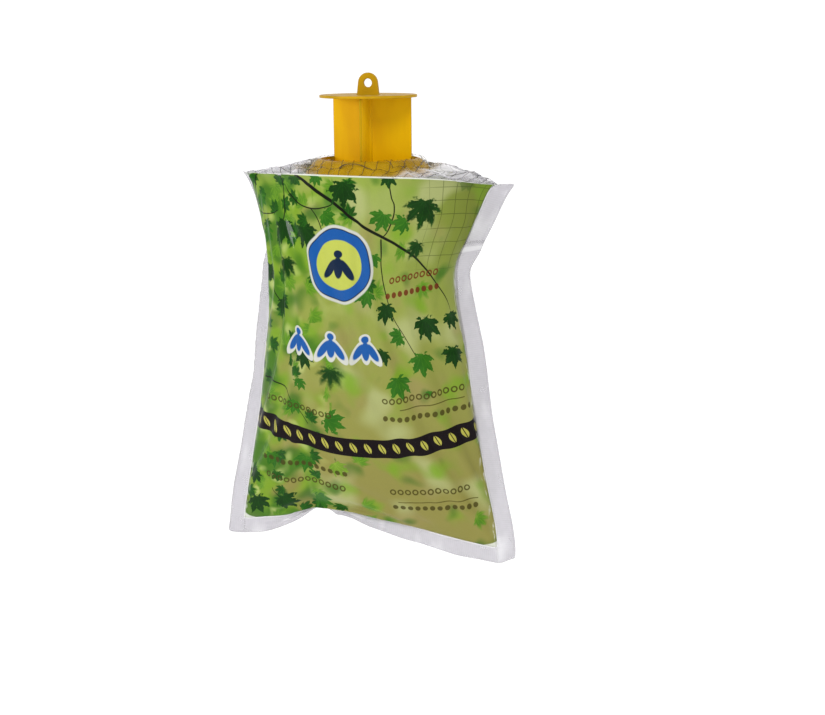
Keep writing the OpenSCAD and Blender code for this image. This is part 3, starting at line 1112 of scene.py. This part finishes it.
def printed_film(name, leaves, twigs, shift, with_marks):
    """Glossy film printed with leaves; the back has its own leaves and no badge or marks."""
    sheet = Skin(name)
    flat = sheet.pattern()
    u, v, _ = sheet.parts(flat)
    base = leafy_ground(sheet, flat, leaves, twigs, shift)
    grid = grid_lines(sheet, u + v * 0.02, v - u * 0.03, PRINTED_GRID_PITCH, 0.22)
    corner = sheet.step(u, 45, 70) * sheet.step(v, -72, -55)
    base = sheet.blend(grid * corner * 0.55, base, tint("#3F4A1C"))
    level = through(sheet, u, BAND_LEVEL)
    if with_marks:
        base = plain_marks(sheet, base, u, v, level)
        base = fly_row(sheet, base, u, v)
        base = badge(sheet, base, u, v)
    base = seam_glints_and_clear_film(sheet, band(sheet, base, u, v, level), flat, u, v)
    grain = sheet.noise(flat, 0.9, 3.0)
    base = sheet.result(sheet.node("Gamma", {0: base, 1: INK_CONTRAST}))
    base = sheet.scaled(base, grain * 0.08 + INK)
    dimples = sheet.noise(flat, 14, 2.0) + sheet.noise(flat, 3, 2.0) * 0.12
    return sheet.finish(
        base_color=base, roughness=grain * 0.1 + 0.24, specular_ior_level=0.02,
        coat_weight=0.16, coat_roughness=0.04, normal=sheet.bump(dimples, 0.35 * MM))


def clear_grid_film():
    """Clear glossy film with a fine dark grid; a painted sheen turns it white where it is seen at a slant,
    and painted glare whitens patches off the dome.
    """
    sheet = Skin("clear_grid_film")
    flat = sheet.pattern()
    u, v, _ = sheet.parts(flat)
    cloud = sheet.noise(flat, 12, 3.0)
    slant = sheet.slanted()
    # Painted sheen: the film grows whiter and more opaque towards a slant.
    sheen = slant * slant * slant
    grid = grid_lines(sheet, u, v, GRID_PITCH, sheen * 0.3 + 0.17)
    off_dome = sheet.step(sheet.radius(u, v), 47, 62)
    # Painted glare: whitish patches off the dome, stronger at a slant.
    glare = sheet.step(sheet.noise(flat, 17, 2.0), 0.6, 0.72) * off_dome * slant
    # Painted glare patch: a white blotch on the film right of the collar, seen only at a slant.
    glare_patch_r = sheet.math("SQRT", (u - 66) * (u - 66) * 0.4 + (v + 26) * (v + 26))
    painted_glare_patch = sheet.step(glare_patch_r + sheet.noise(flat, 8, 2.0) * 18 - 9, 17, 8) * off_dome * slant
    # Opacity from the film's own haze and cloud, plus the painted sheen and glare.
    haze_and_sheen = sheen * (off_dome * 0.7 + 0.05) + glare * 0.25 + off_dome * 0.14 + cloud * 0.03
    alpha = sheet.least(haze_and_sheen + painted_glare_patch * 0.6, 0.95)
    # Over the dome the film is tinted amber, a painted reflection of the collar's yellow light; off the dome
    # it is lilac-white.
    colour = sheet.blend(off_dome, tint("#C9A94A"), tint("#F4F2F8"))
    colour = sheet.blend(grid, colour, tint("#241E20"))
    colour = sheet.blend(painted_glare_patch, colour, tint("#FFFFFF"))
    return sheet.finish(
        base_color=colour, roughness=cloud * 0.12 + 0.04, specular_ior_level=0.5,
        alpha=sheet.most(grid * (off_dome * 0.2 + 0.52), alpha), normal=sheet.bump(cloud, 0.2 * MM))


def weld_film():
    """Two clear films welded together: lilac-grey, with the fine ribs of the weld bar, painted glare, and a
    painted shadow and highlight along the crease across the right weld.
    """
    sheet = Skin("weld_film")
    flat = sheet.pattern()
    u, v, _ = sheet.parts(flat)
    cloud = sheet.noise(flat, 16, 3.0)
    foot = sheet.step(v, FOOT_LINE + 1, FOOT_LINE - 1)
    ribs = sheet.math("PINGPONG", u * foot + v * (1.0 - foot), 0.75) / 0.75
    colour = sheet.blend(cloud, tint("#98949E"), tint("#B9B5BD"))
    colour = sheet.blend(ribs * 0.1, colour, tint("#DDDBE0"))
    beyond = sheet.most(abs(u) - SEAM_LINE, FOOT_LINE - v)
    # A bright line along the seam, partly the clear edge of the weld and partly a painted glint, and painted
    # glare streaks across the weld.
    seam = sheet.step(abs(beyond), 1.5, 0.2)
    glint_streak = sheet.step(sheet.noise(sheet.stretched(flat, (1, 0.35, 1)), 16, 1.0), 0.52, 0.75)
    colour = sheet.blend(sheet.most(seam * 0.6, glint_streak * 0.4), colour, tint("#F4F4F6"))
    across_fold = v - FOLD_V - (u - SEAM_LINE) * FOLD_SLOPE
    on_right = sheet.step(u, SEAM_LINE - 2, SEAM_LINE)
    # Painted shadow along the crease across the right weld, with a painted highlight just below it.
    painted_fold_shadow = sheet.step(abs(across_fold), 2.0, 0.5) * on_right
    painted_fold_highlight = sheet.step(abs(across_fold + 5.0), 3.0, 1.0) * on_right
    colour = sheet.blend(painted_fold_shadow * 0.6, colour, tint("#6C6874"))
    colour = sheet.blend(painted_fold_highlight * 0.4, colour, tint("#FAFAFC"))
    height = ribs * 0.06 + sheet.noise(flat, 9, 1.0) * 0.8
    return sheet.finish(
        base_color=colour, roughness=cloud * 0.15 + 0.1, alpha=cloud * 0.2 + 0.42,
        specular_ior_level=0.8, normal=sheet.bump(height, 0.5 * MM))


# ---------------------------------------------------------------- the bag's pieces


def build_bag():
    points, pattern, faces, parts, front, back = blow_up_bag()
    fine = refined(points, faces, parts, pattern)
    front_print = printed_film("front_print", LEAVES, TWIGS, 0, True)
    back_print = printed_film("back_print", LEAVES[::3], TWIGS[:4], 160, False)
    weld = weld_film()
    for name, part, node, slot, skin in (
        ("front_film", FRONT, "front_panel", "printed_film", front_print),
        ("back_film", BACK, "back_panel", "printed_film", back_print),
        ("left_weld", LEFT, "left_side_seal", "weld_film", weld),
        ("right_weld", RIGHT, "right_side_seal", "weld_film", weld),
        ("bottom_weld", FOOT, "bottom_seal", "weld_film", weld),
    ):
        dress(cut_out(name, fine, part), skin, "bag", node)
    gusset = build_gusset(points, front, back)
    dress(gusset, clear_grid_film(), "bag", "top_gusset")


# ---------------------------------------------------------------- the bait sachet and its powder

# Thickness of the pillow forms as a share of the CAD solids' own.
SACHET_FILL = 0.86
POWDER_FILL = 0.9

# Half the thickness of the sachet where its sheets are welded.
SHEET_GAP = 0.1 * MM


def sachet_skin():
    """Thin white water-soluble film, a little see-through, with fine crinkles."""
    sheet = Skin("sachet_skin")
    crinkle = sheet.noise(sheet.place(), 3, 4.0, 0.6)
    colour = sheet.blend(crinkle, tint("#D9D6CC"), tint("#F1EFE8"))
    return sheet.finish(
        base_color=colour, roughness=crinkle * 0.2 + 0.28, alpha=0.86,
        subsurface_weight=0.1, normal=sheet.bump(crinkle, 0.5 * MM))


def bait_grain():
    """Fine tan powder with darker grains."""
    sheet = Skin("bait_grain")
    here = sheet.place()
    grains = sheet.result(sheet.node("TexVoronoi", {"Vector": here, "Scale": 1.6}), "Distance")
    colour = sheet.blend(sheet.noise(here, 0.8, 3.0), tint("#7A5C33"), tint("#C6A672"))
    rough = 0.9 + grains * 0.05
    return sheet.finish(base_color=colour, roughness=rough, normal=sheet.bump(grains, 0.4 * MM))


def pillow(size, fill, flange, cells):
    """Two sheets joined at their rim: points, faces, which points are free to swell, and both grids."""
    n, m = cells
    points, free, faces = [], [], []
    sheets = {way: np.zeros((m + 1, n + 1), int) for way in (-1, 1)}
    for j, i in np.ndindex(m + 1, n + 1):
        inward = min(i, n - i, j, m - j)
        across = max(0, 1 - abs(2 * i - n) / (n - 2 * flange))
        up = max(0, 1 - abs(2 * j - m) / (m - 2 * flange))
        swell = (across * (2 - across) * up * (2 - up)) ** 0.5
        half = swell * (size[1] * fill) / 2 + (SHEET_GAP if flange and inward else 0)
        for way in (-1, 1):
            if way == 1 and inward == 0:
                sheets[1][j, i] = sheets[-1][j, i]
                continue
            sheets[way][j, i] = len(points)
            points.append(((i / n - 0.5) * size[0], way * half, (j / m - 0.5) * size[2]))
            free.append(inward > flange)
    for way, grid in sheets.items():
        for j, i in np.ndindex(m, n):
            corners = [grid[j, i], grid[j, i + 1], grid[j + 1, i + 1], grid[j + 1, i]]
            faces.append(corners[::-way])
    return np.array(points), faces, np.array(free), sheets


def press_flange(points, free, sheets):
    """Lays both sheets flat together, a hair apart, where they are welded."""
    front, back = sheets[-1], sheets[1]
    welded = (front != back) & ~free[front]
    middle = (points[front[welded]] + points[back[welded]]) / 2
    points[front[welded]] = middle - np.array([0, SHEET_GAP, 0])
    points[back[welded]] = middle + np.array([0, SHEET_GAP, 0])


def box_of(node):
    """Middle and size of a CAD node's box."""
    low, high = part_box(node)
    return np.array((low + high) / 2), np.array(high - low)


def build_sachet():
    middle, size = box_of("bait_sachet")
    settled, faces, free, sheets = pillow(size, SACHET_FILL, 2, (30, 21))
    start = settled * np.array([1.08, 0.1, 1.08])
    start[:, 1] += RNG.normal(0, 0.05 * MM, len(start))
    piece = make_object("sachet_cloth", start, faces)
    pins, blown = np.where(free, 0.08, 0.5), free.astype(float)
    settled = relax(piece, settled, pins, blown, pressure=1.5, bending=0.02, frames=24, move=10)
    settled = np.clip(settled, -size / 2 * 0.99, size / 2 * 0.99)
    crinkle = Creases(6, 4 * MM, 11 * MM).at(settled) * 0.18 * MM
    settled += vertex_normals(settled, faces) * crinkle[:, None]
    press_flange(settled, free, sheets)
    sachet = make_object("sachet_film", settled + middle, faces)
    shade_smooth(sachet)
    finer = sachet.modifiers.new("finer", "SUBSURF")
    finer.levels = finer.render_levels = 1
    dress(sachet, sachet_skin(), "sachet", "bait_sachet")


def build_powder():
    """Powder settled in the lower part of the sachet, with a heaped top edge."""
    middle, size = box_of("bait_powder")
    points, faces, _, _ = pillow(size, POWDER_FILL, 0, (44, 28))
    rise = points[:, 2] / size[2] + 0.5
    top = 0.74 + 0.1 * np.sin(points[:, 0] / size[0] * 4.0) + 0.03 * np.sin(points[:, 0] / (2.3 * MM))
    points[:, 2] = (rise * top - 0.5) * size[2]
    lumps = Creases(8, 1.6 * MM, 5 * MM).at(points) * 0.16 * MM
    points += vertex_normals(points, faces) * lumps[:, None]
    powder = make_object("bait_heap", points + middle, faces)
    shade_smooth(powder)
    dress(powder, bait_grain(), "sachet", "bait_powder")


# ---------------------------------------------------------------- the moulded parts

EDGE_ROUND = 0.25 * MM
EDGE_ANGLE = math.radians(38)

# Moulded CAD nodes with their light and dark tones and the colour of the painted shade on their edges.
MOULDED = (
    ("roof_cap", "#B98F0E", "#A8820C", "#84701C"),
    ("vane_insert", "#ECB900", "#E2AC00", "#6E5808"),
    ("entry_collar", "#B08A0C", "#9E7A08", "#80661A"),
    ("entry_funnel", "#E9B83A", "#DDA520", "#A98A2C"),
)

# Faces this far (mm) from the axis are the vanes' ends, which get the same painted shade as the edges.
VANE_END_R = 32
FUNNEL_ALPHA = 0.85


def moulded_plastic(node, light, dark, edge):
    """Thin moulded polypropylene: satin skin, faint flow marks, and painted shade on its edges."""
    sheet = Skin(node + "_moulding")
    here = sheet.place()
    flow = sheet.noise(sheet.stretched(here, (1, 1, 0.25)), 14, 3.0)
    speck = sheet.noise(here, 0.5, 2.0)
    colour = sheet.blend(sheet.step(flow, 0.35, 0.7), tint(light), tint(dark))
    # Painted shade on the sharp edges and on the vanes' ends, darkening them towards the edge colour.
    painted_edge_shade = sheet.edges(0.5 * MM)
    if node == "vane_insert":
        x, y, _ = sheet.parts(here)
        painted_edge_shade = sheet.most(painted_edge_shade, sheet.step(sheet.radius(x, y), VANE_END_R - 0.5, VANE_END_R - 0.2))
    colour = sheet.blend(painted_edge_shade * (flow * 0.6 + 0.4), colour, tint(edge))
    return sheet.finish(
        base_color=colour, roughness=speck * 0.14 + 0.34, specular_ior_level=0.06,
        alpha=FUNNEL_ALPHA if node == "entry_funnel" else 1.0,
        normal=sheet.bump(speck * 0.25 + flow, 0.12 * MM))


def finish_moulded(node, light, dark, edge):
    """New material and small rounded edges on a moulded CAD part, leaving its own mesh as it is."""
    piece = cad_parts[node]
    piece.data.materials.clear()
    piece.data.materials.append(moulded_plastic(node, light, dark, edge))
    joined = piece.modifiers.new("joined", "WELD")
    joined.merge_threshold = 0.005 * MM
    rounded = piece.modifiers.new("rounded", "BEVEL")
    rounded.width = EDGE_ROUND
    rounded.segments = 2
    rounded.limit_method = "ANGLE"
    rounded.angle_limit = EDGE_ANGLE
    rounded.harden_normals = True
    rounded.use_clamp_overlap = False


# ---------------------------------------------------------------- stage, light and camera

# Floor: its height, the radius of its bend, half its width, its front and back ends and its top.
FLOOR_Z = -0.46
FLOOR_BEND = 1.2
FLOOR_HALF = 5.0
FLOOR_FRONT = -5.0
FLOOR_BACK = 3.0
FLOOR_TOP = 4.0
PAPER_GLOW = 0.3
SKY_LIGHT = 0.66

# Lights: name, place, the point each faces, size and power.
LIGHTS = (
    ("key", (0.65, -1.3, 1.1), (0, 0, -0.2), 0.7, 14.5),
    ("side", (-1.1, -0.9, 0.2), (0, 0, -0.1), 0.3, 6),
    ("spark", (-0.35, -1.2, 0.9), (0, 0, -0.2), 0.06, 0.8),
)

# Camera: where it stands round the trap, its distance, height and downward pitch, then how far it is
# turned to the right of the trap's axis, and its roll.
CAMERA_YAW = math.radians(16)
CAMERA_PITCH = math.radians(12.2)
CAMERA_DISTANCE = 1035.5 * MM
CAMERA_HEIGHT = 28.4 * MM
CAMERA_TURN = math.radians(1.58)
CAMERA_ROLL = math.radians(-0.83)
CAMERA_LENS = 64


def build_floor():
    """Pale floor that curves up into a backdrop."""
    arc = [
        (FLOOR_BACK + FLOOR_BEND * math.sin(a), FLOOR_Z + FLOOR_BEND * (1 - math.cos(a)))
        for a in np.linspace(0, math.pi / 2, 13)
    ]
    line = [(FLOOR_FRONT, FLOOR_Z), *arc, (FLOOR_BACK + FLOOR_BEND, FLOOR_TOP)]
    turn = Matrix.Rotation(CAMERA_YAW, 3, "Z")
    points = [turn @ Vector((x, y, z)) for y, z in line for x in (-FLOOR_HALF, FLOOR_HALF)]
    faces = [(2 * k, 2 * k + 1, 2 * k + 3, 2 * k + 2) for k in range(len(line) - 1)]
    floor = make_object("floor", points, faces)
    shade_smooth(floor)
    paper = Skin("paper")
    floor.data.materials.append(paper.finish(
        base_color=(0.95, 0.95, 0.95, 1), roughness=0.9, specular_ior_level=0.0,
        emission_color=(1, 1, 1, 1), emission_strength=PAPER_GLOW))


def build_world():
    """Plain white surroundings that look brighter to the camera than they light the trap."""
    world = bpy.data.worlds.new("studio")
    bpy.context.scene.world = world
    world.use_nodes = True
    sky = Sheet(world.node_tree)
    seen = sky.result(sky.node("LightPath"), "Is Camera Ray")
    background = world.node_tree.nodes["Background"]
    background.inputs["Color"].default_value = (1, 1, 1, 1)
    sky.feed(background.inputs["Strength"], seen * (1 - SKY_LIGHT) + SKY_LIGHT)


def build_light(name, place, aim, size, power):
    light = bpy.data.lights.new(name, "AREA")
    light.size = size
    light.energy = power
    lamp = bpy.data.objects.new(name, light)
    lamp.location = place
    lamp.rotation_euler = (Vector(aim) - Vector(place)).to_track_quat("-Z", "Y").to_euler()
    bpy.context.scene.collection.objects.link(lamp)


def turned(a, b, angle):
    """Two directions turned together, the first towards the second."""
    return math.cos(angle) * a + math.sin(angle) * b, math.cos(angle) * b - math.sin(angle) * a


def build_camera():
    sine, cosine = math.sin(CAMERA_YAW), math.cos(CAMERA_YAW)
    place = Vector((CAMERA_DISTANCE * sine, -CAMERA_DISTANCE * cosine, CAMERA_HEIGHT))
    flat = math.cos(CAMERA_PITCH)
    ahead = Vector((-sine * flat, cosine * flat, -math.sin(CAMERA_PITCH)))
    ahead, right = turned(ahead, Vector((cosine, sine, 0)), CAMERA_TURN)
    right, up = turned(right, right.cross(ahead), CAMERA_ROLL)
    data = bpy.data.cameras.new("camera")
    data.sensor_width = 36
    data.lens = CAMERA_LENS
    camera = bpy.data.objects.new("camera", data)
    turn = Matrix((right, up, -ahead)).transposed().to_4x4()
    camera.matrix_world = Matrix.Translation(place) @ turn
    bpy.context.scene.collection.objects.link(camera)
    bpy.context.scene.camera = camera


# ---------------------------------------------------------------- the whole scene

build_bag()
build_sachet()
build_powder()
for moulding in MOULDED:
    finish_moulded(*moulding)
build_floor()
build_world()
for light in LIGHTS:
    build_light(*light)
build_camera()
bpy.context.scene.view_settings.view_transform = "Standard"
